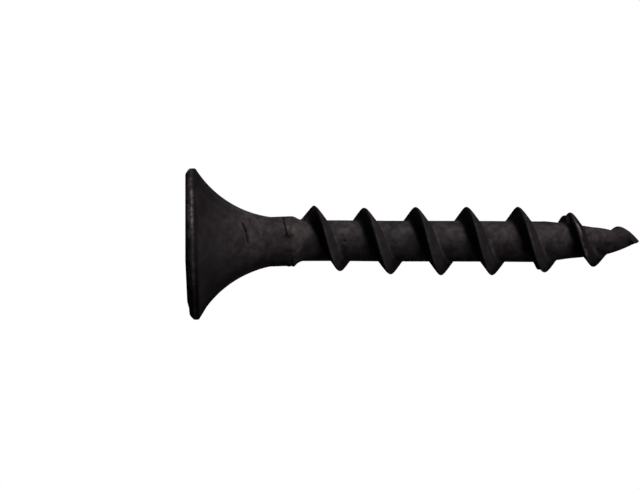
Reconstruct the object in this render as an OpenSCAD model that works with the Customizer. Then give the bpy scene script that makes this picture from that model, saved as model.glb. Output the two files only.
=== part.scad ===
// Coarse-thread self-tapping screw with a trumpet head and a cross recess.
// It stands on its head: the flat face is at z = 0 and the point is at the top of +Z.

/* [Head] */
// Diameter of the head over its rim
head_d = 8.3; // [7.4:0.1:9.4]
// Height of the rim, from the flat face to the start of the flare
rim_h = 0.66; // [0.44:0.02:0.8]
// Chamfer between the flat face and the rim
rim_chamfer = 0.26; // [0.1:0.02:0.36]
// Height of the head, from the flat face to the neck
head_h = 4.68; // [4.3:0.02:5.4]
// Radius of the hollow flare under the head
flare_r = 5.65; // [4.8:0.1:9]

/* [Cross recess] */
// Width across the wings at the flat face
recess_d = 5.5; // [4.6:0.1:5.8]
// Depth of the wings
recess_depth = 2.9; // [2.2:0.05:3.2]
// Width of one wing
wing_w = 1.13; // [0.9:0.01:1.3]
// Slope of the wings' outer ends, from the axis
wing_slope = 26.5; // [24:0.5:28]
// Rounding of the metal's corners between the wings
corner_r = 0.68; // [0.3:0.02:0.8]
// Slope of the pointed floor, from the flat face
floor_slope = 24; // [10:1:28]

/* [Shank] */
// Diameter of the plain neck under the head
neck_d = 2.7; // [2.5:0.02:3]
// Length of the plain neck
neck_l = 1.3; // [0.8:0.05:2]
// Length of the shoulder between the neck and the core
shoulder_l = 0.4; // [0.2:0.05:0.6]
// Diameter of the core between the threads
core_d = 2.23; // [1.9:0.01:2.4]

/* [Thread] */
// Diameter over the crests
thread_d = 3.7; // [3.3:0.02:4.3]
// Pitch of the single right-hand thread
pitch = 2.82; // [2.2:0.01:3.4]
// Angle between the two flanks
flank_angle = 66; // [50:1:70]
// Width of the narrow land on the crest
crest_w = 0.1; // [0.06:0.01:0.24]
// Part of a turn in which the thread rises to its full height
rise_turns = 0.22; // [0.15:0.01:0.6]
// Angle at which the thread starts, from +X towards +Y
start_angle = 92; // [0:1:359]

/* [Point] */
// Length of the screw, from the flat face to the point
screw_l = 25; // [20:0.5:45]
// Length of the sharp point
point_l = 2.5; // [1.8:0.1:3.2]
// Core diameter where the sharp point starts
point_d = 1.6; // [1.2:0.02:1.8]
// Length of the slow taper of the core before the sharp point
taper_l = 2.5; // [1.5:0.1:4]
// Diameter over the crests where the sharp point starts
point_thread_d = 2.8; // [2.2:0.02:3.2]
// Length of the slow taper of the crests before the sharp point
crest_taper_l = 4.2; // [3:0.1:6]
// Width of the crest's land at the tip, where the thread is blunt
tip_crest_w = 0.5; // [0.1:0.02:0.6]
// Bulge of the sharp point: 1 makes a straight cone, and more makes a rounder nose
point_bulge = 1.65; // [1:0.05:2]

/* [Hidden] */

black_phosphate = [0.17, 0.16, 0.165];
circle_fn = 72;
flare_fn = 150;
steps_per_turn = 32;
nose_steps = 6;
cut_over = 0.5;      // how far a cutting tool reaches past the surface that it cuts
root_sink = 0.2;     // how deep the thread's root lies inside the core
least_root_r = 0.04; // the thread's root never reaches the axis
tip_cover = 0.03;    // metal that stays over the thread's root at the tip
bare_tip_l = 0.2;    // length of the tip past the end of the thread

head_r = head_d / 2;
neck_r = neck_d / 2;
core_r = core_d / 2;
thread_r = thread_d / 2;

// Heights along the axis, from the flat face to the point
neck_top = head_h + neck_l;
core_start = neck_top + shoulder_l;
point_start = screw_l - point_l;
thread_start = core_start;
thread_end = screw_l - bare_tip_l;

// Share of its full radius that the sharp point keeps at a height, falling to 0 at the tip
function nose(z) = 1 - ((z - point_start) / point_l) ^ point_bulge;

// The core is straight, tapers slowly, and then follows the nose
core_table = [
    [head_h, neck_r],
    [neck_top, neck_r],
    [core_start, core_r],
    [point_start - taper_l, core_r],
    [point_start, point_d / 2]
];
function core_radius(z) = z < point_start
    ? lookup(z, core_table)
    : point_d / 2 * nose(z);

// The crest rises out of the core, runs straight, tapers slowly, and then follows the nose
crest_table = [
    [thread_start, core_r - root_sink],
    [thread_start + rise_turns * pitch, thread_r],
    [point_start - crest_taper_l, thread_r],
    [point_start, point_thread_d / 2]
];
function crest_radius(z) = z < point_start
    ? lookup(z, crest_table)
    : point_thread_d / 2 * nose(z);

// The land on the crest is narrow up to the sharp point, and widens to the tip
land_table = [
    [point_start, crest_w],
    [screw_l, tip_crest_w]
];

// Centre of the flare's arc, which runs from the rim's edge to the neck
rim_edge = [head_r, rim_h];
neck_edge = [neck_r, head_h];
flare_chord = neck_edge - rim_edge;
flare_centre = (rim_edge + neck_edge) / 2
    + [flare_chord[1], -flare_chord[0]] / norm(flare_chord)
    * sqrt(flare_r ^ 2 - norm(flare_chord) ^ 2 / 4);

// Half of the head's section: a plate as wide as the head, hollowed by the flare's arc
module head_section() {
    difference() {
        polygon([
            [0, 0],
            [head_r - rim_chamfer, 0],
            [head_r, rim_chamfer],
            rim_edge,
            [head_r, head_h],
            [0, head_h]
        ]);
        translate(flare_centre)
            circle(r = flare_r, $fn = flare_fn);
    }
}

// Half of the shank's section, from the head to the tip
module shank_section() {
    nose_points = [
        for (step = [1 : nose_steps])
            let (z = point_start + point_l * step / nose_steps)
            [core_radius(z), z]
    ];
    polygon(concat(
        [[0, head_h]],
        [for (level = core_table) [level[1], level[0]]],
        nose_points
    ));
}

module blank() {
    rotate_extrude($fn = circle_fn) head_section();
    rotate_extrude($fn = circle_fn) shank_section();
}

// Half widths of the recess: at its mouth, above the face, and where its sloping ends stop
mouth_r = recess_d / 2 + cut_over * tan(wing_slope);
floor_r = recess_d / 2 - recess_depth * tan(wing_slope);
floor_rise = floor_r * tan(floor_slope);

// A pair of wings in line: a flat tool with sloping ends and a pointed floor
module wing_pair() {
    rotate([90, 0, 0])
        linear_extrude(height = wing_w, center = true)
            polygon([
                [-mouth_r, -cut_over],
                [mouth_r, -cut_over],
                [floor_r, recess_depth],
                [0, recess_depth + floor_rise],
                [-floor_r, recess_depth]
            ]);
}

// The middle, where the metal's corners between the wings are rounded off
module recess_middle() {
    corner = wing_w / 2 + corner_r;
    middle_r = corner * sqrt(2);
    intersection() {
        translate([0, 0, -cut_over])
            linear_extrude(height = cut_over + recess_depth + floor_rise)
                difference() {
                    square(2 * corner, center = true);
                    for (turn = [0 : 90 : 270])
                        rotate(turn)
                            translate([corner, corner])
                                circle(r = corner_r, $fn = circle_fn);
                }
        union() {
            translate([0, 0, -cut_over])
                cylinder(h = cut_over + recess_depth, r1 = middle_r, r2 = floor_r, $fn = circle_fn);
            translate([0, 0, recess_depth])
                cylinder(h = floor_rise, r1 = floor_r, r2 = 0, $fn = circle_fn);
        }
    }
}

module cross_recess() {
    wing_pair();
    rotate(90) wing_pair();
    recess_middle();
}

// One section of the thread, as [radius, height] from root to crest to root
function thread_section(z) =
    let (
        crest = crest_radius(z),
        half_land = lookup(z, land_table) / 2,
        root = max(least_root_r, min(core_radius(z), crest) - root_sink),
        half_root = half_land + (crest - root) * tan(flank_angle / 2),
        top = screw_l - tip_cover
    )
    [
        [root, z - half_root],
        [crest, z - half_land],
        [crest, min(z + half_land, top)],
        [root, min(z + half_root, top)]
    ];

// The ridge is a skin of quads, each split into two triangles, with a cap at each end
module thread_ridge() {
    last = floor((thread_end - thread_start) / pitch * steps_per_turn);
    sides = 4;
    points = [
        for (step = [0 : last])
            let (angle = start_angle + 360 * step / steps_per_turn)
            for (corner = thread_section(thread_start + pitch * step / steps_per_turn))
                [corner[0] * cos(angle), corner[0] * sin(angle), corner[1]]
    ];
    skin = [
        for (step = [0 : last - 1], side = [0 : sides - 1])
            let (
                a = step * sides + side,
                b = step * sides + (side + 1) % sides
            )
            each [[a, b, b + sides], [a, b + sides, a + sides]]
    ];
    end = last * sides;
    caps = [
        [0, 2, 1],
        [0, 3, 2],
        [end, end + 1, end + 2],
        [end, end + 2, end + 3]
    ];
    polyhedron(points = points, faces = concat(skin, caps), convexity = 10);
}

module screw() {
    color(black_phosphate) {
        difference() {
            blank();
            cross_recess();
        }
        thread_ridge();
    }
}

screw();
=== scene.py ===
"""Looks of a black self-tapping screw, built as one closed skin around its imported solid."""

import math

import bpy
import numpy as np
from mathutils import Matrix, Vector

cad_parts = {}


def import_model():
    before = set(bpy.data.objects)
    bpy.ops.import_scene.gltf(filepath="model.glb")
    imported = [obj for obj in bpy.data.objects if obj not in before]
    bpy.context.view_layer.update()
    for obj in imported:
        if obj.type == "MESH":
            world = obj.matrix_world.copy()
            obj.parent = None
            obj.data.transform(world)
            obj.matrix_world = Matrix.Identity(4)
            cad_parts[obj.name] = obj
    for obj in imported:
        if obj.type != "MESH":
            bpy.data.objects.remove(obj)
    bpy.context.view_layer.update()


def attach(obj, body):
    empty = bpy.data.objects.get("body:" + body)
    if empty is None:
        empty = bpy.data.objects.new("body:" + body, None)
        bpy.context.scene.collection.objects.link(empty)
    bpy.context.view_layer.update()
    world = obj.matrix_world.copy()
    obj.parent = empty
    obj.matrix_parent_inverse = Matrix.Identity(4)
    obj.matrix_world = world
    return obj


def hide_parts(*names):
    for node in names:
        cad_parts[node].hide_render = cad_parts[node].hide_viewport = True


# Lengths are in millimetres until a mesh, a lamp or the camera is made, and angles round the axis in radians
MM = 0.001

# Every row of the skin has the same columns. Half a quadrant of them covers half a wing's end, its side and
# half a corner.
END_STEPS = 7
SIDE_STEPS = 7
CORNER_STEPS = 10
HALF_QUADRANT = END_STEPS + SIDE_STEPS + CORNER_STEPS
QUADRANT = 2 * HALF_QUADRANT
COLUMNS = 4 * QUADRANT
# Column 0 lies at the back of the screw, on a wing's axis
FIRST_ANGLE = math.radians(90)
STEPS_ROUND = np.arange(COLUMNS)
ANGLES = FIRST_ANGLE + 2 * math.pi * STEPS_ROUND / COLUMNS
WING_ANGLES = FIRST_ANGLE + STEPS_ROUND // QUADRANT * math.pi / 2

# Cross recess
WING_REACH = 2.75
WING_HALF_WIDTH = 0.565
CORNER_CENTRE = 1.245
RECESS_DEPTH = 2.9
END_SLOPE = math.tan(math.radians(26.5))
SIDE_DRAFT = 0.012
FLOOR_SLOPE = math.tan(math.radians(24))
FLOOR_REACH = WING_REACH - RECESS_DEPTH * END_SLOPE
MOUTH_ROUNDING = 0.12
# The recess's rows: shares of the way out over its floor, shares of its walls' depth, and degrees round the
# edge of its mouth
FLOOR_SHARES = (0.12, 0.3, 0.5, 0.7, 0.86, 0.96)
WALL_SHARES = (1, 0.97, 0.88, 0.72, 0.55, 0.38, 0.22, 0.1)
MOUTH_DEGREES = (67.5, 45, 22.5, 0)
RECESS_ROWS = len(FLOOR_SHARES + WALL_SHARES + MOUTH_DEGREES)

# Flat face, out to a circle near the rim, with the ring that the punch left on it
FACE_CIRCLE = 3.15
FACE_ROWS = 23
RING_MARK_R = 2.05
RING_MARK_WIDTH = 0.055
RING_MARK_DEPTH = 0.035

# Head: the rim's profile as radius and height, then the flare's arc to the neck
RIM_PROFILE = [
    (3.32, 0), (3.46, 0), (3.58, 0), (3.68, 0), (3.77, 0), (3.84, 0.008),
    (3.9, 0.035), (3.96, 0.08), (4.015, 0.13), (4.065, 0.185), (4.105, 0.235),
    (4.132, 0.285), (4.146, 0.34), (4.15, 0.4), (4.15, 0.47), (4.15, 0.54),
    (4.148, 0.6), (4.138, 0.64), (4.115, 0.675),
]
RIM_EDGE = (4.15, 0.66)
NECK_EDGE = (1.37, 4.68)
FLARE_R = 5.8
FLARE_ROWS = 56
SCRATCHED_ROWS = slice(37, 46)

# Shank: its radii, then the heights where the neck narrows, where the core tapers and where the point starts
NECK_R = 1.37
CORE_R = 1.125
POINT_R = 0.8
NECK_ROW_STEP = 0.05
SHOULDER = (5.85, 6.5)
TAPER_START = 19.8
POINT_START = 22.5
POINT_L = 2.5
POINT_BULGE = 1.65
SCREW_L = 25.0

# Thread. As in the photograph, left is towards the head and right is towards the point.
PITCH = 2.82
THREAD_START = 6.38
START_ANGLE = math.radians(92)
# What a flank falls by for each step along the axis
FLANK_SLOPE = 1 / math.tan(math.radians(33))
# Fillet at the thread's root, and what the blunt tip adds to it over these heights
ROOT_BLEND = 0.07
TIP_BLEND = 0.1
TIP_BLEND_Z = (23.7, 24.3)
# Crest radius, and how far the crest lies off its even pitch, at turns counted from the thread's start
CREST = [
    (-0.1, 0.8, 0), (0, 0.95, 0), (0.14, 1.7, 0), (0.244, 1.94, 0.006), (0.5, 1.8, 0.03),
    (0.744, 1.68, 0.056), (1.244, 1.83, -0.043), (1.744, 1.83, 0.024), (2.244, 1.885, -0.025),
    (2.744, 1.88, -0.035), (3.244, 1.9, -0.04), (3.744, 1.87, -0.045), (4.244, 1.92, -0.028),
    (4.744, 1.7, 0.055), (5.244, 1.58, 0.055), (5.4, 1.525, -0.05), (5.52, 1.48, -0.08),
    (5.744, 1.385, -0.08), (6.244, 0.82, -0.06), (6.33, 0.73, -0.04), (6.42, 0.56, -0.02),
    (6.5, 0.4, 0), (6.62, 0.15, 0), (6.7, 0.03, 0),
]
# A crest that lies off its pitch pulls the rows beside it along: not at all past the first of these
# distances, and fully up to the second
CREST_PULL = (1.3, 0.5)
# Half width of the crest's land on its left and right side, at turns from the start
LAND = [
    (0, 0.05, 0.06), (0.244, 0.05, 0.137), (0.744, 0.03, 0.06), (1.244, 0.08, 0.12), (1.744, 0.12, 0.06),
    (2.244, 0.06, 0.12), (2.744, 0.05, 0.08), (3.244, 0.05, 0.13), (3.744, 0.04, 0.09), (4.244, 0.05, 0.16),
    (4.744, 0.03, 0.1), (5.244, 0.05, 0.14), (5.744, 0.03, 0.17), (6.1, 0.09, 0.26), (7, 0.1, 0.26),
]
# Steepness of the left and the right flank, as a share of the plain one
STEEPNESS = [
    (0, 0.76, 0.95), (0.28, 0.79, 1), (0.41, 1.15, 1), (0.7, 1.07, 1), (1.1, 1, 1), (5.8, 1, 1),
    (6.15, 0.75, 0.6), (6.24, 0.4, 0.58), (6.32, 0.12, 0.58), (6.4, 0, 0.6), (7, 0, 0.6),
]
# A lap left by the rolling on the left of the crest, close to the point. It lies below the crest by its fall,
# and sinks away by its end drop where it starts and stops.
LAP_TURNS = (4.58, 4.72, 5.28, 5.42)
LAP_OFFSET = -0.25
LAP_HALF_WIDTH = 0.09
LAP_FALL = 0.165
LAP_SLOPE = 2.2
LAP_END_DROP = 0.6
LAP_BLEND = 0.025
# The tip: a cone that trims the thread, a hair longer than the screw, with a rounded edge
TIP_SLOPE = 1.12
TIP_EXCESS = 0.02
TIP_ROUNDING = 0.05

# Rows beside a crest, as distances from it along the axis, and between two crests
RIDGE_ROWS = [
    0, 0.022, 0.045, 0.07, 0.1, 0.14, 0.185, 0.235, 0.285, 0.335, 0.385, 0.43, 0.47, 0.51, 0.55, 0.6, 0.66,
]
VALLEY_ROWS = 16
# The rows that run along the thread are laid out over these turns and cut off at these heights.
# A point nearer to a cut than this share of its row's spacing moves onto it.
HELIX_TURNS = (-2, 9)
HELIX_START = 6.0
HELIX_END = 24.86
CUT_SHARE = 0.4
# Closed rows from the helix's end to the tip
TIP_ROWS = (HELIX_END, 24.9, 24.94, 24.97, 24.99)
# Distance from the crest, and turns, of the points that have no thread
OFF_THREAD = 9.0
NO_CREST = (OFF_THREAD, 0.0)


def table(rows, at, column=1):
    """Straight-line lookup in a table whose first column rises."""
    return np.interp(at, [row[0] for row in rows], [row[column] for row in rows])


def smooth_step(low, high, value):
    """0 up to the first bound and 1 past the second, smooth between them. The second may be the lower one."""
    share = np.clip((value - low) / (high - low), 0, 1)
    return share * share * (3 - 2 * share)


def band(edges, value):
    """1 between the two middle edges, 0 outside the outer ones, and smooth between them."""
    return smooth_step(edges[0], edges[1], value) * smooth_step(edges[3], edges[2], value)


def bell(value, middle, half_width):
    """1 in the middle, fading out past the half width."""
    return np.exp(-((value - middle) / half_width) ** 2)


def smooth_max(a, b, width):
    """The larger of two heights, with a fillet of about this width where they meet."""
    share = np.clip(0.5 + (a - b) / (2 * width), 0, 1)
    return b + (a - b) * share + width * share * (1 - share)


def polar(points):
    """Each point's distance from the axis and its angle round it."""
    return np.hypot(points[:, 0], points[:, 1]), np.arctan2(points[:, 1], points[:, 0])


def cross_outline(depth, spread=0.0):
    """Points of the recess's outline in each column at a depth, grown outwards by a spread.
    The depth may be one value or one for each column."""
    depth = np.broadcast_to(np.asarray(depth, float), COLUMNS)
    step = STEPS_ROUND % QUADRANT
    mirrored = step > HALF_QUADRANT
    step = np.where(mirrored, QUADRANT - step, step).astype(float)
    reach = WING_REACH - depth * END_SLOPE + spread
    half_width = WING_HALF_WIDTH - depth * SIDE_DRAFT + spread
    corner_r = CORNER_CENTRE - half_width
    on_end = np.clip(step / END_STEPS, 0, 1)
    on_side = np.clip((step - END_STEPS) / SIDE_STEPS, 0, 1)
    turn = np.clip((step - END_STEPS - SIDE_STEPS) / CORNER_STEPS, 0, 1) * math.pi / 4
    along = reach + (CORNER_CENTRE - reach) * on_side - corner_r * np.sin(turn)
    across = half_width * on_end + corner_r * (1 - np.cos(turn))
    along, across = np.where(mirrored, across, along), np.where(mirrored, along, across)
    return np.c_[
        along * np.cos(WING_ANGLES) - across * np.sin(WING_ANGLES),
        along * np.sin(WING_ANGLES) + across * np.cos(WING_ANGLES),
    ]


def ring(radius, height):
    """A plain round row. The radius and height may be one value or one for each column."""
    return np.c_[
        radius * np.cos(ANGLES),
        radius * np.sin(ANGLES),
        np.broadcast_to(np.asarray(height, float), COLUMNS),
    ]


def recess_rows():
    """From near the recess's deepest point over its floor and up its walls to the rounded mouth."""
    bottom = cross_outline(RECESS_DEPTH)
    along = np.abs(bottom[:, 0] * np.cos(WING_ANGLES) + bottom[:, 1] * np.sin(WING_ANGLES))
    across = np.abs(bottom[:, 1] * np.cos(WING_ANGLES) - bottom[:, 0] * np.sin(WING_ANGLES))
    reach = np.maximum(along, across)
    wall_depth = RECESS_DEPTH + (FLOOR_REACH - reach) * FLOOR_SLOPE
    foot = cross_outline(wall_depth)
    rows = []
    for share in FLOOR_SHARES:
        rows.append(np.c_[foot * share, RECESS_DEPTH + (FLOOR_REACH - reach * share) * FLOOR_SLOPE])
    for share in WALL_SHARES:
        depth = MOUTH_ROUNDING + (wall_depth - MOUTH_ROUNDING) * share
        rows.append(np.c_[cross_outline(depth), depth])
    for turn in np.radians(MOUTH_DEGREES):
        spread = MOUTH_ROUNDING * (1 - math.sin(turn))
        depth = MOUTH_ROUNDING * (1 - math.cos(turn))
        rows.append(np.c_[cross_outline(depth, spread), np.full(COLUMNS, depth)])
    return rows


def face_rows():
    """The flat face, from the recess's mouth to a circle near the rim, with the punch's ring mark."""
    mouth = cross_outline(0, MOUTH_ROUNDING)
    circle = ring(FACE_CIRCLE, 0)[:, :2]
    rows = []
    for share in np.linspace(0, 1, FACE_ROWS + 1)[1:]:
        flat = mouth + (circle - mouth) * share
        mark = bell(np.hypot(flat[:, 0], flat[:, 1]), RING_MARK_R, RING_MARK_WIDTH)
        rows.append(np.c_[flat, RING_MARK_DEPTH * mark])
    return rows


def flare_profile():
    """Radius and height along the flare's hollow arc, with finer rows where it is scratched."""
    start, end = np.array(RIM_EDGE), np.array(NECK_EDGE)
    chord = end - start
    length = np.hypot(*chord)
    away = np.array([chord[1], -chord[0]]) / length
    centre = (start + end) / 2 + away * math.sqrt(FLARE_R ** 2 - length ** 2 / 4)
    first = math.atan2(*(start - centre)[::-1]) % (2 * math.pi)
    last = math.atan2(*(end - centre)[::-1]) % (2 * math.pi)
    turns = np.linspace(first, last, FLARE_ROWS + 1)[1:]
    between = (turns[1:] + turns[:-1]) / 2
    turns = np.sort(np.r_[turns, between[SCRATCHED_ROWS]])[::-1]
    return [(centre[0] + FLARE_R * math.cos(t), centre[1] + FLARE_R * math.sin(t)) for t in turns]


def core_radius(height):
    """Radius of the neck, the core and the point between the threads."""
    radius = NECK_R + (CORE_R - NECK_R) * smooth_step(*SHOULDER, height)
    tapered = np.interp(height, (TAPER_START, POINT_START), (CORE_R, POINT_R))
    radius = np.where(height < TAPER_START, radius, tapered)
    share = np.clip((height - POINT_START) / POINT_L, 0, 1)
    return np.where(height < POINT_START, radius, POINT_R * (1 - share ** POINT_BULGE))


def thread_radius(height, off_crest, turns):
    """Radius of the threaded shank, from the distance to the nearest crest and the turns since the start."""
    crest = table(CREST, turns)
    right = off_crest > 0
    land = np.where(right, table(LAND, turns, 2), table(LAND, turns, 1))
    steepness = np.where(right, table(STEEPNESS, turns, 2), table(STEEPNESS, turns, 1))
    fall = np.sqrt(off_crest ** 2 + land ** 2) - land
    ridge = crest - fall * FLANK_SLOPE * steepness
    lap_fall = LAP_SLOPE * np.maximum(0, np.abs(off_crest - LAP_OFFSET) - LAP_HALF_WIDTH) + LAP_FALL
    ridge = smooth_max(ridge, crest - lap_fall - LAP_END_DROP * (1 - band(LAP_TURNS, turns)), LAP_BLEND)
    blend = ROOT_BLEND + TIP_BLEND * smooth_step(*TIP_BLEND_Z, height)
    radius = smooth_max(ridge, core_radius(height), blend)
    tip = TIP_SLOPE * (SCREW_L + TIP_EXCESS - height)
    return -smooth_max(-radius, -tip, TIP_ROUNDING)


def helix_grid():
    """Rows that run along the thread: the height of each point, its distance from the crest and its turns.
    Past its last column a row goes on as the first column of the row one turn's rows further up."""
    valley = np.linspace(RIDGE_ROWS[-1], PITCH - RIDGE_ROWS[-1], VALLEY_ROWS + 2)[1:-1]
    offsets = np.array([-v for v in RIDGE_ROWS[:0:-1]] + RIDGE_ROWS + list(valley))
    per_turn = len(offsets)
    whole_turns = np.arange(*HELIX_TURNS)
    offset = np.tile(offsets, len(whole_turns))[:, None]
    start = (FIRST_ANGLE - START_ANGLE) / (2 * math.pi)
    turns = np.repeat(whole_turns, per_turn)[:, None] + (STEPS_ROUND / COLUMNS)[None, :] + start
    past_middle = offset > PITCH / 2
    off_crest = np.broadcast_to(np.where(past_middle, offset - PITCH, offset), turns.shape)
    crest_turns = turns + past_middle
    pull = smooth_step(*CREST_PULL, np.abs(off_crest))
    height = THREAD_START + PITCH * turns + offset + table(CREST, crest_turns, 2) * pull
    return height, off_crest, crest_turns, per_turn


def head_rings():
    """Closed rows from the recess's deepest point round the head and along the neck to the helix's start."""
    rings = recess_rows() + face_rows()
    rings += [ring(radius, height) for radius, height in RIM_PROFILE + flare_profile()]
    neck_heights = np.arange(NECK_EDGE[1] + NECK_ROW_STEP, HELIX_START, NECK_ROW_STEP)
    rings += [ring(core_radius(height), height) for height in (*neck_heights, HELIX_START)]
    return rings


def tip_rings():
    """Closed rows from the helix's end to the tip, and each point's distance from the crest and turns."""
    rings = []
    crest = []
    turns_round = (ANGLES - START_ANGLE) / (2 * math.pi)
    for height in TIP_ROWS:
        turns = np.round((height - THREAD_START) / PITCH - turns_round) + turns_round
        off_crest = height - THREAD_START - PITCH * turns
        rings.append(ring(thread_radius(np.full(COLUMNS, height), off_crest, turns), height))
        crest.append(np.c_[off_crest, turns])
    return rings, crest


def ring_quads(row):
    """Faces between a closed row and the next one."""
    here = row * COLUMNS + STEPS_ROUND
    beside = row * COLUMNS + (STEPS_ROUND + 1) % COLUMNS
    return np.c_[here, beside, beside + COLUMNS, here + COLUMNS]


def helix_quads(index, per_turn):
    """Faces between the rows that run along the thread, from each row's point numbers."""
    wrapped = np.hstack([index, np.roll(index[:, :1], -per_turn, axis=0)])
    whole_rows = wrapped[:-per_turn]
    lower, upper = whole_rows[:-1], whole_rows[1:]
    return np.stack([lower[:, :-1], lower[:, 1:], upper[:, 1:], upper[:, :-1]], -1).reshape(-1, 4)


def without_repeats(quads):
    """Each quad's corners with no point twice in a row, leaving out quads that keep fewer than three."""
    faces = []
    for quad in quads.tolist():
        corners = [v for place, v in enumerate(quad) if v != quad[place - 1]]
        if len(set(corners)) >= 3:
            faces.append(corners)
    return faces


def build_skin():
    """Points and faces of the whole screw, from the recess's deepest point round to the tip.
    Also gives each point's distance from the crest and turns, and whether it is in the recess."""
    rings = head_rings()
    low_ring = len(rings) - 1
    high_ring = len(rings)
    tip_rows, tip_crest = tip_rings()
    rings += tip_rows
    ring_points = len(rings) * COLUMNS

    height, off_crest, turns, per_turn = helix_grid()
    spacing = np.gradient(height, axis=0)
    below = height < HELIX_START + CUT_SHARE * spacing
    above = height > HELIX_END - CUT_SHARE * spacing
    inside = ~(below | above)
    columns = np.broadcast_to(STEPS_ROUND, height.shape)
    index = np.zeros(height.shape, int)
    index[below] = low_ring * COLUMNS + columns[below]
    index[above] = high_ring * COLUMNS + columns[above]
    index[inside] = ring_points + np.arange(inside.sum())
    radius = thread_radius(height, off_crest, turns)
    helix = np.c_[(radius * np.cos(ANGLES))[inside], (radius * np.sin(ANGLES))[inside], height[inside]]

    quads = [ring_quads(row) for row in range(len(rings) - 1) if row != low_ring]
    faces = without_repeats(np.vstack([*quads, helix_quads(index, per_turn)]))
    deepest = ring_points + len(helix)
    tip = deepest + 1
    last = ring_points - COLUMNS
    for column in range(COLUMNS):
        following = (column + 1) % COLUMNS
        faces.append([deepest, following, column])
        faces.append([last + column, last + following, tip])

    ends = [(0, 0, RECESS_DEPTH + FLOOR_REACH * FLOOR_SLOPE), (0, 0, SCREW_L)]
    points = np.vstack([*rings, helix, ends])
    plain = np.tile(NO_CREST, (high_ring * COLUMNS, 1))
    crest = np.vstack([plain, *tip_crest, np.c_[off_crest[inside], turns[inside]], NO_CREST, NO_CREST])
    inner = np.zeros(len(points), bool)
    inner[:RECESS_ROWS * COLUMNS] = True
    inner[deepest] = True
    return points, faces, crest, inner


# How light the coat is, from 0 to 1: partly burnish from the rolling, partly painted sheen that lightens the
# core and painted shade that darkens the flanks. The thread is dull from its crest to the first of these
# distances and light past the second, where 1 is about the flank's foot.
LEAST_FLANK_WIDTH = 0.25
RIGHT_FOOT = (0.88, 1.3)
LEFT_FOOT = (0.82, 1.25)
# The thread is at least this light where it runs out on the tip, and gets so over these turns
TIP_BURNISH = 0.75
TIP_BURNISH_TURNS = (6.05, 6.3)
# Dull flanks gain this much on the whole, and this much more or less in the rolled lines
FLANK_BURNISH = 0.14
ROLLED_BURNISH = 0.12
# The head is dull up to the first of these heights, and it and the neck are light past the second. The dull
# flare near the rim is painted shade.
FLARE_BURNISH_AND_SHADE_Z = (0.6, 4.4)
# Lower bound, upper bound and share of the painted shade that darkens the coat towards the point
POINT_DARKENING = [(20.4, 21.4, 0.13), (23.3, 23.9, 0.25), (24.33, 24.55, 0.57)]
# How light the flat face and the recess are. The face lies lower and further in than the next two.
FACE_BURNISH = 0.55
FACE_TOP = 0.06
RIM_INSIDE = 4

# Rolled lines: their seed and number, and the least and most waves of one across and along the thread
ROLLED_SEED = 5
ROLLED_LINES = 7
WAVES_ACROSS = (14, 50)
WAVES_ALONG = (-7, 7)

# How far the crest is worn bright, at turns from the start. Its sharp rise near the point is a painted
# highlight streak.
CREST_WEAR_AND_HIGHLIGHT = [
    (0.15, 0), (0.5, 0.07), (5.15, 0.07), (5.22, 0.26), (5.34, 0.28), (5.378, 0.3), (5.398, 0.9), (5.412, 1),
    (5.428, 0.6), (5.442, 0.35), (5.46, 0.36), (5.475, 0.12), (5.49, 0.15), (5.505, 0.38), (5.518, 0.3),
    (5.53, 0.1), (5.545, 0.3), (5.56, 0.35), (5.6, 0.12), (5.7, 0.06), (6, 0.06), (6.2, 0),
]
# The worn line's place beside the crest and its half width, what both gain in the painted highlight streak,
# and the range of wear over which the line turns into that streak
WORN_LINE = (0.06, 0.05)
STREAK_GAIN = (0.07, 0.01)
STREAK_WEAR = (0.1, 0.5)
# Over these turns the line lies this much further to the left
LINE_SHIFT = 0.13
LINE_SHIFT_TURNS = (5.1, 5.2, 5.36, 5.41)
# The worn line round the rim: its height and half width, its wear all round, the painted highlight it gains
# between the top and the front, and the wear it gains past the front
RIM_LINE = (0.39, 0.072)
RIM_WEAR = 0.22
RIM_HIGHLIGHT = 0.6
RIM_HIGHLIGHT_ANGLES = (-2.5, -2.25, -1.95, -1.62)
NEAR_WEAR = 0.12
NEAR_ANGLES = (-1.55, -1.3)
# The bevel between face and rim: its wear, partly painted light, the painted highlight it gains towards the
# top, and where it lies
BEVEL_WEAR_AND_LIGHT = 0.2
BEVEL_HIGHLIGHT = 0.3
BEVEL_HIGHLIGHT_ANGLES = (-1.5, -1.8)
BEVEL_RADII = (3.5, 3.7)
BEVEL_HEIGHTS = (0.02, 0.09, 0.2, 0.36)
# The edge of the recess's mouth: its wear, depth and half width
MOUTH_WEAR = 0.3
MOUTH_LINE = (0.03, 0.035)

# Shade in the grooves: how dark, then where
LAP_SHADE = 0.95
LAP_GROOVE = (-0.16, 0.1)
ROOT_SHADE = 0.34
ROOT_LINE = (0.86, 0.12)
ROOT_TURNS = (0.3, 0.6, 5.9, 6.2)
LAST_FLANK_SHADE = 0.5
LAST_FLANK_TURNS = (5.15, 5.3, 5.7, 5.85)
LAST_FLANK_FOOT = (1.5, 0.9)
CREST_EDGE = (0.1, 0.3)
LEFT_SHADE = 0.38
LEFT_FLANK = (*CREST_EDGE, 0.72, 0.92)
LEFT_END_TURNS = (6.2, 6)
RIM_SHADE = 0.5
RIM_SHADE_LINE = (0.62, 0.11)
RIM_SHADE_R = 3.6
RING_SHADE = 0.6
RING_SHADE_WIDTH = 0.07
RING_SHADE_TOP = 0.1


def rolled_lines(off_crest, turns):
    """Uneven lines that run along the thread, between about -1 and 1, the same on every run."""
    dice = np.random.default_rng(ROLLED_SEED)
    total = 0
    for _ in range(ROLLED_LINES):
        across = dice.uniform(*WAVES_ACROSS)
        along = dice.uniform(*WAVES_ALONG)
        total = total + np.sin(across * off_crest + along * turns + dice.uniform(0, 2 * math.pi))
    return total / (ROLLED_LINES / 2)


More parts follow.
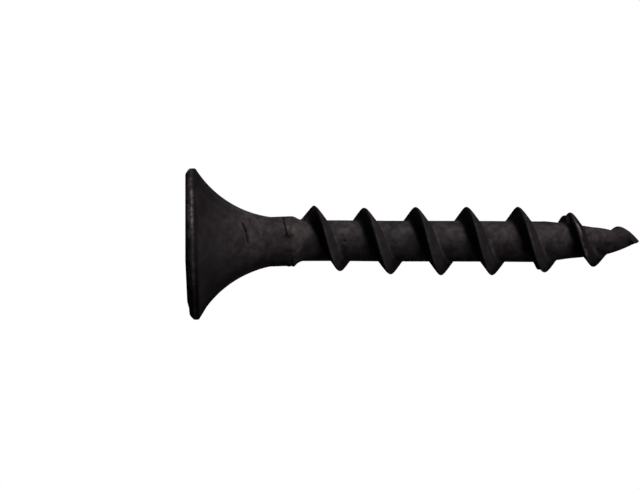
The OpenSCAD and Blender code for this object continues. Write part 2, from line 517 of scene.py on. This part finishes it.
def flank_share(height, off_crest, turns):
    """Distance from the crest as a share of the flank's width, so that its foot lies at about 1."""
    width = (table(CREST, turns) - core_radius(height)) / FLANK_SLOPE
    return np.abs(off_crest) / np.maximum(LEAST_FLANK_WIDTH, width)


def burnish_sheen_and_shade_of(points, crest, inner):
    """How light the coat is at each point, from 0 to 1: burnish from the rolling, with painted sheen and
    shade.
    """
    radius, _ = polar(points)
    height = points[:, 2]
    off_crest, turns = crest.T
    reach = flank_share(height, off_crest, turns)
    thread = np.where(off_crest > 0, smooth_step(*RIGHT_FOOT, reach), smooth_step(*LEFT_FOOT, reach))
    thread = np.maximum(thread, TIP_BURNISH * smooth_step(*TIP_BURNISH_TURNS, turns))
    thread = thread + (1 - thread) * (FLANK_BURNISH + ROLLED_BURNISH * rolled_lines(off_crest, turns))
    burnish_sheen_and_shade = np.where(off_crest < OFF_THREAD, thread, smooth_step(*FLARE_BURNISH_AND_SHADE_Z, height))
    kept = 1
    for low, high, share in POINT_DARKENING:
        kept = kept - share * smooth_step(low, high, height)
    on_face = (height < FACE_TOP) & (radius < RIM_INSIDE)
    return np.where(inner | on_face, FACE_BURNISH, burnish_sheen_and_shade * kept)


def wear_and_highlight_of(points, crest, inner):
    """How far each point shows bright steel, from 0 to 1: the coat's wear, and painted highlight on the rim,
    the bevel and the crest's streak.
    """
    radius, angle = polar(points)
    height = points[:, 2]
    off_crest, turns = crest.T

    worn = table(CREST_WEAR_AND_HIGHLIGHT, turns)
    highlight_streak = smooth_step(*STREAK_WEAR, worn)
    place = WORN_LINE[0] + STREAK_GAIN[0] * highlight_streak - LINE_SHIFT * band(LINE_SHIFT_TURNS, turns)
    line = worn * bell(off_crest, place, WORN_LINE[1] + STREAK_GAIN[1] * highlight_streak)

    rim = RIM_WEAR + RIM_HIGHLIGHT * band(RIM_HIGHLIGHT_ANGLES, angle) + NEAR_WEAR * smooth_step(*NEAR_ANGLES, angle)
    rim = rim * bell(height, *RIM_LINE) * (radius > RIM_INSIDE)
    bevel = BEVEL_WEAR_AND_LIGHT + BEVEL_HIGHLIGHT * smooth_step(*BEVEL_HIGHLIGHT_ANGLES, angle)
    bevel = bevel * smooth_step(*BEVEL_RADII, radius) * band(BEVEL_HEIGHTS, height)
    mouth = MOUTH_WEAR * inner * bell(height, *MOUTH_LINE)
    return np.where(off_crest < OFF_THREAD, line, np.maximum(np.maximum(rim, bevel), mouth))


def groove_of(points, crest, inner):
    """How deep each point lies in the shade of a groove or of a flank, from 0 to 1."""
    radius, _ = polar(points)
    height = points[:, 2]
    off_crest, turns = crest.T
    right = off_crest > 0
    reach = flank_share(height, off_crest, turns)

    lap = LAP_SHADE * band(LAP_TURNS, turns) * bell(off_crest, *LAP_GROOVE)
    root = ROOT_SHADE * bell(reach, *ROOT_LINE) * band(ROOT_TURNS, turns)
    last_flank = band(LAST_FLANK_TURNS, turns) * smooth_step(*LAST_FLANK_FOOT, reach)
    last_flank = LAST_FLANK_SHADE * last_flank * smooth_step(*CREST_EDGE, reach)
    left_flank = LEFT_SHADE * band(LEFT_FLANK, reach) * smooth_step(*LEFT_END_TURNS, turns)
    flank = np.where(right, np.maximum(root, last_flank), left_flank)

    rim_edge_shade = RIM_SHADE * bell(height, *RIM_SHADE_LINE) * (radius > RIM_SHADE_R)
    ring_mark_shade = RING_SHADE * bell(radius, RING_MARK_R, RING_SHADE_WIDTH) * (height < RING_SHADE_TOP) * ~inner
    return np.where(off_crest < OFF_THREAD, np.maximum(lap, flank), np.maximum(rim_edge_shade, ring_mark_shade))


# Marks on the side towards the camera, by height and sideways offset x.
# Each dent or bump: height, x, half length along the axis, half width around it, rise
SPOTS = [
    (5.56, -0.32, 0.07, 0.1, -0.05), (5.75, -0.27, 0.06, 0.09, -0.05), (5.9, -0.3, 0.05, 0.07, -0.045),
    (5.66, -0.2, 0.05, 0.06, -0.04), (5.48, -0.22, 0.05, 0.05, -0.03), (5.82, -0.42, 0.04, 0.05, -0.03),
    (5.72, 1.33, 0.1, 0.26, 0.07), (6.0, 1.31, 0.12, 0.28, 0.1), (5.86, 1.12, 0.05, 0.12, -0.07),
    (5.95, 0.95, 0.06, 0.1, -0.04), (5.8, 0.82, 0.05, 0.07, -0.04), (5.68, -1.3, 0.16, 0.5, 0.01),
    (5.3, -1.33, 0.05, 0.25, 0.02), (8.62, -0.32, 0.045, 0.07, -0.07), (8.78, 0.01, 0.05, 0.06, -0.07),
    (8.7, -0.16, 0.03, 0.05, -0.04), (8.42, -0.23, 0.06, 0.09, -0.03), (8.64, 0.3, 0.04, 0.1, -0.04),
    (9.66, -0.51, 0.03, 0.03, -0.04), (10.24, -0.33, 0.04, 0.04, -0.03),
]
# Each patch where the coat is lighter: the same four numbers, and its share. It is partly polish and mostly
# painted highlight, along the upper side of the neck and the core.
POLISH_AND_HIGHLIGHT = [
    (1.9, -0.2, 1.1, 1.5, 0.2), (4.29, 0.6, 0.09, 0.07, 0.35), (4.56, -0.62, 0.2, 0.12, 0.3),
    (4.6, -0.66, 0.6, 0.24, 0.36), (5.66, -0.72, 0.08, 0.2, 1.6), (5.96, -0.64, 0.25, 0.24, 0.8),
    (6.35, -0.5, 0.3, 0.3, 0.6), (6.62, -0.2, 0.07, 0.06, 0.35), (6.86, -0.54, 0.26, 0.3, 0.85),
    (7.15, 0.55, 0.16, 0.25, 0.5), (8.75, -0.66, 0.3, 0.12, 0.3), (8.84, -0.17, 0.07, 0.07, 0.5),
    (8.95, -0.6, 0.6, 0.22, 0.42), (9.22, -0.52, 0.08, 0.08, 0.5), (9.45, -0.56, 0.2, 0.2, 0.85),
    (11.6, -0.7, 0.3, 0.14, 0.35), (11.8, -0.58, 0.6, 0.24, 0.46), (12.5, -0.6, 0.2, 0.12, 0.3),
    (13.97, -0.68, 0.12, 0.12, 0.45), (14.6, -0.54, 0.6, 0.25, 0.5), (14.94, -0.66, 0.14, 0.1, 0.45),
    (15.2, -0.4, 0.3, 0.12, 0.25), (17.15, -0.4, 0.12, 0.1, 0.45), (17.4, -0.52, 0.6, 0.24, 0.4),
    (17.62, -0.5, 0.14, 0.14, 0.45), (19.65, -0.6, 0.14, 0.12, 0.45), (20.25, -0.55, 0.6, 0.2, 0.2),
    (20.3, -0.6, 0.25, 0.14, 0.3), (20.8, -0.74, 0.13, 0.2, 0.45), (22.5, -0.4, 0.2, 0.08, 0.3),
    (23.1, -0.33, 0.1, 0.07, 0.45),
]
# Each patch where the coat is darker, with the same five numbers. Most are painted shade: on the head, along
# the core's top edge, beside the last flanks and round the point. The others are stains.
STAINS_AND_SHADE = [
    (0.72, -3.8, 0.3, 1.8, 0.58), (0.92, 3.72, 0.3, 1.7, 0.52), (1.05, -2.2, 0.7, 0.9, 0.44),
    (1.4, -2.6, 1.1, 1.1, 0.44), (2.05, -1.7, 0.8, 0.5, 0.45), (2.65, -1.72, 0.7, 0.5, 0.48),
    (8.25, -0.4, 0.22, 0.3, 0.3), (8.5, 0.62, 0.3, 0.2, 0.25), (11.7, -1.1, 0.7, 0.3, 0.3),
    (11.8, -0.02, 0.5, 0.14, 0.3), (11.9, 0.3, 0.4, 0.16, 0.25), (14.4, 0.05, 0.3, 0.1, 0.25),
    (14.5, -1.08, 0.7, 0.35, 0.36), (14.6, 0, 0.5, 0.14, 0.3), (17.4, -1.08, 0.7, 0.35, 0.45),
    (17.4, 0.2, 0.35, 0.14, 0.25), (18.66, 0.44, 0.22, 0.42, 0.8), (20.1, 0.1, 0.25, 0.12, 0.25),
    (20.25, -1.05, 0.7, 0.35, 0.5), (21.45, 0.42, 0.27, 0.42, 0.8), (22.04, -0.64, 0.13, 0.2, 0.52),
    (22.2, -0.34, 0.13, 0.2, 0.5), (22.34, 0, 0.16, 0.2, 0.6), (22.46, 0.28, 0.14, 0.18, 0.42),
    (22.85, 0.36, 0.35, 0.22, 0.62), (22.95, 0.5, 0.16, 0.14, 0.6), (23.25, 0.14, 0.8, 0.26, 0.72),
]
# Each cut: its points as height and x, half width, depth
CUTS = [
    ([(5.36, -1.33), (5.43, -1.2), (5.41, -1.07), (5.47, -0.94), (5.49, -0.8), (5.55, -0.66), (5.54, -0.52),
      (5.6, -0.38)], 0.035, 0.08),
    ([(3.17, -1.07), (3.24, -0.9), (3.31, -0.72), (3.38, -0.46), (3.43, -0.16), (3.455, 0.05)], 0.05, 0.05),
    ([(3.22, -0.95), (3.3, -0.75), (3.35, -0.6)], 0.06, 0.03),
    ([(5.62, -0.1), (5.7, 0.1), (5.72, 0.4), (5.8, 0.7), (5.88, 1.0), (5.9, 1.2)], 0.035, 0.01),
]
# Marks keep this far from the axis and this far up from the face
MARKS_INSIDE = 0.3
MARKS_START = 0.7
# A mark's height has the skin's usual radius within this distance along the axis
LEVEL_BAND = 0.06
# A cut reaches round the skin less than this many radii, and counts as far from all else
NEAR_SIDE = 1.5
FAR = 9.0
# A point pressed in this deep is painted as dark as the shade of a groove gets
DARK_DEPTH = 0.05


def arc_to(points, at, x):
    """Distance round the skin from a place on the camera's side, given by its height and sideways offset."""
    radius, angle = polar(points)
    level = np.median(radius[(radius > MARKS_INSIDE) & (np.abs(points[:, 2] - at) < LEVEL_BAND)])
    place = -math.acos(max(-1.0, min(1.0, x / level)))
    return ((angle - place + math.pi) % (2 * math.pi) - math.pi) * radius


def spot(points, at, x, half_length, half_width):
    """1 in the middle of a round spot on the skin, fading out past its half sizes."""
    return np.exp(-((points[:, 2] - at) / half_length) ** 2 - (arc_to(points, at, x) / half_width) ** 2)


def distance_to_cut(points, path):
    """Distance from each point to a cut on the camera's side of the skin."""
    radius, _ = polar(points)
    nearest = np.full(len(points), FAR)
    for (start_z, start_x), (end_z, end_x) in zip(path, path[1:]):
        across = arc_to(points, start_z, start_x)
        along = points[:, 2] - start_z
        step_across = across - arc_to(points, end_z, end_x)
        step_along = end_z - start_z
        squared = step_across ** 2 + step_along ** 2
        share = np.clip((across * step_across + along * step_along) / squared, 0, 1)
        gap = np.hypot(across - share * step_across, along - share * step_along)
        near_side = np.abs(across) < NEAR_SIDE * radius
        nearest = np.where(near_side, np.minimum(nearest, gap), nearest)
    return nearest


def add_marks(points):
    """Gives the skin its dents, burrs, cuts and scratches.
    Returns the painted shade of its dents and cuts with the stains and painted shade of the dark patches, and
    its polish with painted highlight."""
    radius, _ = polar(points)
    marked = (radius > MARKS_INSIDE) & (points[:, 2] > MARKS_START)
    rise = np.zeros(len(points))
    polish_and_highlight = np.zeros(len(points))
    patch_shade_and_stain = np.zeros(len(points))
    for *place, amount in SPOTS:
        rise += amount * spot(points, *place)
    for *place, amount in POLISH_AND_HIGHLIGHT:
        polish_and_highlight = np.maximum(polish_and_highlight, amount * spot(points, *place))
    for *place, amount in STAINS_AND_SHADE:
        patch_shade_and_stain = np.maximum(patch_shade_and_stain, amount * spot(points, *place))
    for path, half_width, depth in CUTS:
        rise -= depth * bell(distance_to_cut(points, path), 0, half_width)
    rise = np.where(marked, rise, 0)
    points[:, :2] *= (1 + rise / np.maximum(radius, MARKS_INSIDE))[:, None]
    # Painted shade: dents and cuts darken by their depth, and the dark patches add their painted shade and
    # stains
    shade_and_stain = np.maximum(np.clip(-rise / DARK_DEPTH, 0, 1), np.where(marked, patch_shade_and_stain, 0))
    return shade_and_stain, np.where(marked, polish_and_highlight, 0)


# The head leans about a pivot on the neck. Its rows tilt fully between the two middle heights, less and less
# outside them, and not at all at the face, which stays flat.
HEAD_LEAN = math.tan(math.radians(1.4))
LEAN_PIVOT = 4.9
TILTED_HEIGHTS = (0, 0.5, 3.4, LEAN_PIVOT)
# The face's worn bevel on the side towards +X: its slope past an offset, and what it gains past a radius
BEVEL_START_X = 0.9
BEVEL_SLOPE = 0.046
BEVEL_TOP = 0.62
BEVEL_START_R = 3.1
BEVEL_WIDTH = 0.6
BEVEL_EXTRA = 0.1
# The rim's lip on the same side
LIP = 0.05
LIP_RADII = (3.45, 3.8)
# A point on the axis faces no side, so its radius counts as at least this
LEAST_R = 0.1
# Sideways offset of the screw's centre line at heights along it
CENTRE_LINE = [
    (4.9, -0.008), (6.4, -0.06), (8.4, -0.065), (11.2, -0.036), (14, -0.034), (16.8, -0.025), (19.5, -0.002),
    (21.1, -0.045), (22.6, 0), (25, -0.03),
]


def settle_shape(points, inner):
    """Gives the skin the screw's small faults: its leaning head, worn bevel and wandering centre line."""
    x, _, z = points.T.copy()
    radius, _ = polar(points)
    toward = np.maximum(0, x / np.maximum(radius, LEAST_R)) ** 2
    bevel = BEVEL_SLOPE * np.maximum(0, x - BEVEL_START_X)
    bevel = bevel + BEVEL_EXTRA * smooth_step(0, BEVEL_WIDTH, radius - BEVEL_START_R) * toward
    bevel = bevel * smooth_step(BEVEL_TOP, 0, z)
    tilt = HEAD_LEAN * x * band(TILTED_HEIGHTS, z) * ~inner
    shift = HEAD_LEAN * np.maximum(0, LEAN_PIVOT - z) + table(CENTRE_LINE, z)
    recess_shift = HEAD_LEAN * LEAN_PIVOT + CENTRE_LINE[0][1]
    points[:, 0] = x + LIP * toward * smooth_step(*LIP_RADII, radius) + np.where(inner, recess_shift, shift)
    points[:, 2] = z + bevel + tilt


def make_skin():
    """The screw's mesh, with the state of its coat and its painted sheen, highlight and shade at each point.
    """
    points, faces, crest, inner = build_skin()
    burnish_sheen_and_shade = burnish_sheen_and_shade_of(points, crest, inner)
    wear_and_highlight = wear_and_highlight_of(points, crest, inner)
    groove = groove_of(points, crest, inner)
    shade_and_stain, polish_and_highlight = add_marks(points)
    settle_shape(points, inner)
    mesh = bpy.data.meshes.new("screw_skin")
    mesh.from_pydata((points * MM).tolist(), [], faces)
    mesh.validate()
    mesh.shade_smooth()
    state = {"burnish_sheen_and_shade": burnish_sheen_and_shade, "wear_and_highlight": wear_and_highlight, "shade_and_stain": np.maximum(shade_and_stain, groove), "polish_and_highlight": polish_and_highlight}
    for name, values in state.items():
        layer = mesh.attributes.new(name, "FLOAT", "POINT")
        layer.data.foreach_set("value", values.astype(np.float32))
    return mesh


# Colours of the phosphate coat at its lightest burnish, the warm one also for its painted highlights, and of
# the steel where the coat is worn thin, which also paints highlights
PHOSPHATE_VIOLET = (0.0465, 0.0372, 0.0400)
PHOSPHATE_GREY = (0.0432, 0.0372, 0.0388)
PHOSPHATE_WARM_HIGHLIGHT = (0.0445, 0.0403, 0.0374)
BARE_STEEL_AND_HIGHLIGHT = (0.32, 0.285, 0.30)
# Noise in the coat: cells to a metre, detail, roughness and distortion
BLOTCHES = (2400, 3, 0.55, 0.4)
PATCHES = (900, 2, 0.55, 0)
GRAIN = (14000, 2, 0.6, 0)
HUES = (420, 1, 0.55, 0)
# How a range of each noise turns into a share of grey or a range of tone
HUE_SHARE = ((0.35, 0.65), (0, 1))
BLOTCH_TONE = ((0.3, 0.72), (0.7, 1.4))
GRAIN_TONE = ((0.25, 0.75), (0.88, 1.12))
PATCH_TONE = ((0.3, 0.7), (0.86, 1.14))
# How burnish with its painted sheen and shade, and the painted shade with the stains, turn into tone, and
# what full polish with its painted highlight adds
BURNISH_SHEEN_AND_SHADE_TONE = ((0, 1), (0.48, 1))
SHADE_AND_STAIN_TONE = ((0, 1), (1, 0.25))
POLISH_AND_HIGHLIGHT_GAIN = 0.7
# How burnish turns into the strength of mottle and relief
MOTTLE_STRENGTH = ((0, 0.9), (0.35, 1))
# How the noise breaks up the worn places and painted highlights, and the grain's share in it
BROKEN_WEAR = ((0.62, 0.82), (0.25, 1))
BROKEN_GRAIN = 0.4
# How the blotches turn into roughness, and how much smoother bare steel is
COAT_ROUGHNESS = ((0.3, 0.7), (0.72, 0.6))
BARE_SMOOTHER = 0.2
# Relief of the coat, and the grain's share in it
RELIEF = 0.02
RELIEF_GRAIN = 0.25


def feed(tree, socket, value):
    """Sets an input to a number or a colour, or links another node's output to it."""
    if isinstance(value, (int, float)):
        socket.default_value = value
    elif isinstance(value, tuple):
        socket.default_value = (*value, 1)
    else:
        tree.links.new(value, socket)


def add_node(tree, kind, inputs):
    """A new node with its inputs fed, each by its name or number."""
    node = tree.nodes.new(kind)
    for name, value in inputs.items():
        feed(tree, node.inputs[name], value)
    return node


def make_phosphate():
    """Black phosphate on rolled steel: mottled and grained, lighter on the core and worn on the edges.
    The lighter core is partly painted sheen, the worn edges partly painted highlight, and painted shade
    darkens the grooves.
    """
    material = bpy.data.materials.new("black_phosphate")
    material.use_nodes = True
    tree = material.node_tree
    shader = tree.nodes["Principled BSDF"]
    place = tree.nodes.new("ShaderNodeTexCoord").outputs["Object"]

    def noise(scale, detail, roughness, distortion):
        return add_node(tree, "ShaderNodeTexNoise", {
            "Vector": place,
            "Scale": scale,
            "Detail": detail,
            "Roughness": roughness,
            "Distortion": distortion,
        }).outputs["Fac"]

    def remap(value, old, new):
        node = add_node(tree, "ShaderNodeMapRange", {
            "Value": value,
            "From Min": old[0],
            "From Max": old[1],
            "To Min": new[0],
            "To Max": new[1],
        })
        node.interpolation_type = "SMOOTHSTEP"
        return node.outputs["Result"]

    def maths(operation, first, second):
        node = add_node(tree, "ShaderNodeMath", {0: first, 1: second})
        node.operation = operation
        return node.outputs[0]

    def plus(first, second):
        return maths("ADD", first, second)

    def minus(first, second):
        return maths("SUBTRACT", first, second)

    def times(first, second):
        return maths("MULTIPLY", first, second)

    def mix_colours(share, first, second, blend="MIX"):
        node = tree.nodes.new("ShaderNodeMix")
        node.data_type = "RGBA"
        node.blend_type = blend
        for name, value in (("Factor_Float", share), ("A_Color", first), ("B_Color", second)):
            feed(tree, next(s for s in node.inputs if s.identifier == name), value)
        return next(s for s in node.outputs if s.identifier == "Result_Color")

    def layer(name):
        node = tree.nodes.new("ShaderNodeAttribute")
        node.attribute_type = "GEOMETRY"
        node.attribute_name = name
        return node.outputs["Fac"]

    blotches = noise(*BLOTCHES)
    grain = noise(*GRAIN)
    burnish_sheen_and_shade = layer("burnish_sheen_and_shade")
    polish_and_highlight = layer("polish_and_highlight")

    # Violet black in places, neutral black in others, and warmer where it is polished and where highlights
    # are painted
    coat = mix_colours(remap(noise(*HUES), *HUE_SHARE), PHOSPHATE_VIOLET, PHOSPHATE_GREY)
    coat = mix_colours(polish_and_highlight, coat, PHOSPHATE_WARM_HIGHLIGHT)
    strength = remap(burnish_sheen_and_shade, *MOTTLE_STRENGTH)
    mottle = times(remap(blotches, *BLOTCH_TONE), remap(grain, *GRAIN_TONE))
    # Tone from the burnish with its painted sheen and shade, raised by the polish with its painted highlight
    tone = times(remap(burnish_sheen_and_shade, *BURNISH_SHEEN_AND_SHADE_TONE), plus(1, times(polish_and_highlight, POLISH_AND_HIGHLIGHT_GAIN)))
    tone = times(tone, plus(1, times(strength, minus(mottle, 1))))
    tone = times(tone, remap(noise(*PATCHES), *PATCH_TONE))
    # Painted shade in the grooves, dents, cuts and dark patches, together with the stains, darkens the coat
    tone = times(tone, remap(layer("shade_and_stain"), *SHADE_AND_STAIN_TONE))
    coat = mix_colours(1, coat, tone, "MULTIPLY")
    broken = remap(plus(blotches, times(grain, BROKEN_GRAIN)), *BROKEN_WEAR)
    # Bright steel where the coat is worn, and painted highlight on the rim, the bevel and the crest's streak
    bare_and_highlight = times(layer("wear_and_highlight"), broken)
    feed(tree, shader.inputs["Base Color"], mix_colours(bare_and_highlight, coat, BARE_STEEL_AND_HIGHLIGHT))

    # The coat scatters light and has no gloss of its own
    rough = minus(remap(blotches, *COAT_ROUGHNESS), times(bare_and_highlight, BARE_SMOOTHER))
    feed(tree, shader.inputs["Roughness"], rough)
    shader.inputs["Specular IOR Level"].default_value = 0

    relief = times(strength, plus(blotches, times(grain, RELIEF_GRAIN)))
    bump = add_node(tree, "ShaderNodeBump", {"Strength": 1, "Distance": RELIEF * MM, "Height": relief})
    feed(tree, shader.inputs["Normal"], bump.outputs[0])
    return material


# The floor lies a hair below the head's face, so that no two faces share a plane
FLOOR_DROP = 0.005
FLOOR_HALF_WIDTH = 600
# The floor's paper and glow as they are seen, and the grey that it throws back at the screw
PAPER = (0.85, 0.85, 0.85)
PAPER_GLOW = 0.5
DARK_PAPER = (0.05, 0.05, 0.05)
# The world as it is seen, and its strength as it lights the screw
WHITE = (1, 1, 1)
AMBIENT = 0.072
# Height of the screw's middle. Each lamp: its direction from there, its distance and width, and how bright it
# alone would make a white sheet that lies there and faces it.
MIDDLE_Z = 12.5
LAMPS = {
    "key": ((-0.79, -0.38, 0.48), 350, 120, 0.58),
    "fill": ((-0.4, -0.76, 0.52), 350, 160, 0.27),
    "back": ((0.4, 1, 0.2), 350, 160, 0.36),
}
# The photograph's frame: its width, the size of one pixel on the screw, and the point it is centred on
PHOTO_WIDTH = 640
PIXEL = 0.0551
VIEW_X = 0.149
VIEW_Z = 7.427
CAMERA_DISTANCE = 400
CAMERA_NEAR = 10
CAMERA_FAR = 10000
# The screw's axis runs to the right in the picture, and its +X side points down
CAMERA_TURN = Matrix(((0, -1, 0), (0, 0, -1), (1, 0, 0)))


def split_by_ray(tree, unseen, seen, output):
    """Ends a node tree with one shader for the rays of the camera, metal and glass, and another for the rays
    that only light things."""
    path = tree.nodes.new("ShaderNodeLightPath").outputs
    share = path["Is Camera Ray"]
    for ray in ("Is Glossy Ray", "Is Transmission Ray"):
        larger = add_node(tree, "ShaderNodeMath", {0: share, 1: path[ray]})
        larger.operation = "MAXIMUM"
        share = larger.outputs[0]
    mix = add_node(tree, "ShaderNodeMixShader", {0: share, 1: unseen, 2: seen})
    add_node(tree, output, {"Surface": mix.outputs[0]})


def make_floor():
    """White paper under the screw, which keeps the screw's shadow."""
    size = FLOOR_HALF_WIDTH * MM
    corners = [(-size, -size), (size, -size), (size, size), (-size, size)]
    mesh = bpy.data.meshes.new("floor")
    mesh.from_pydata([(x, y, -FLOOR_DROP * MM) for x, y in corners], [], [(0, 1, 2, 3)])
    floor = bpy.data.objects.new("floor", mesh)
    bpy.context.scene.collection.objects.link(floor)

    material = bpy.data.materials.new("floor_paper")
    material.use_nodes = True
    tree = material.node_tree
    tree.nodes.clear()
    paper = add_node(tree, "ShaderNodeBsdfDiffuse", {"Color": PAPER})
    glow = add_node(tree, "ShaderNodeEmission", {"Strength": PAPER_GLOW})
    seen = add_node(tree, "ShaderNodeAddShader", {0: paper.outputs[0], 1: glow.outputs[0]})
    unseen = add_node(tree, "ShaderNodeBsdfDiffuse", {"Color": DARK_PAPER})
    split_by_ray(tree, unseen.outputs[0], seen.outputs[0], "ShaderNodeOutputMaterial")
    mesh.materials.append(material)


def make_world():
    """A white world that lights the screw only a little."""
    world = bpy.data.worlds.new("studio")
    bpy.context.scene.world = world
    world.use_nodes = True
    tree = world.node_tree
    tree.nodes.clear()
    seen = add_node(tree, "ShaderNodeBackground", {"Color": WHITE, "Strength": 1})
    unseen = add_node(tree, "ShaderNodeBackground", {"Color": WHITE, "Strength": AMBIENT})
    split_by_ray(tree, unseen.outputs[0], seen.outputs[0], "ShaderNodeOutputWorld")


def make_lamps():
    """Round lamps that face the screw's middle."""
    middle = Vector((0, 0, MIDDLE_Z)) * MM
    for name, (direction, distance, width, brightness) in LAMPS.items():
        lamp = bpy.data.lights.new(name, "AREA")
        lamp.shape = "DISK"
        lamp.size = width * MM
        reach = distance * MM
        lamp.energy = brightness * math.pi ** 2 * reach ** 2
        thing = bpy.data.objects.new(name, lamp)
        away = Vector(direction).normalized()
        thing.location = middle + away * reach
        thing.rotation_mode = "QUATERNION"
        thing.rotation_quaternion = away.to_track_quat("Z", "Y")
        bpy.context.scene.collection.objects.link(thing)


def make_camera():
    """The photograph's view, square onto the screw's side."""
    camera = bpy.data.cameras.new("camera")
    camera.type = "ORTHO"
    camera.ortho_scale = PHOTO_WIDTH * PIXEL * MM
    camera.clip_start = CAMERA_NEAR * MM
    camera.clip_end = CAMERA_FAR * MM
    thing = bpy.data.objects.new("camera", camera)
    place = Matrix.Translation(Vector((VIEW_X, -CAMERA_DISTANCE, VIEW_Z)) * MM)
    thing.matrix_world = place @ CAMERA_TURN.to_4x4()
    bpy.context.scene.collection.objects.link(thing)
    bpy.context.scene.camera = thing
    bpy.context.scene.view_settings.view_transform = "Standard"


def main():
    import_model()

    screw = bpy.data.objects.new("screw_skin", make_skin())
    bpy.context.scene.collection.objects.link(screw)
    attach(screw, "root")
    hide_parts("screw")
    screw.data.materials.append(make_phosphate())

    make_floor()
    make_world()
    make_lamps()
    make_camera()


main()
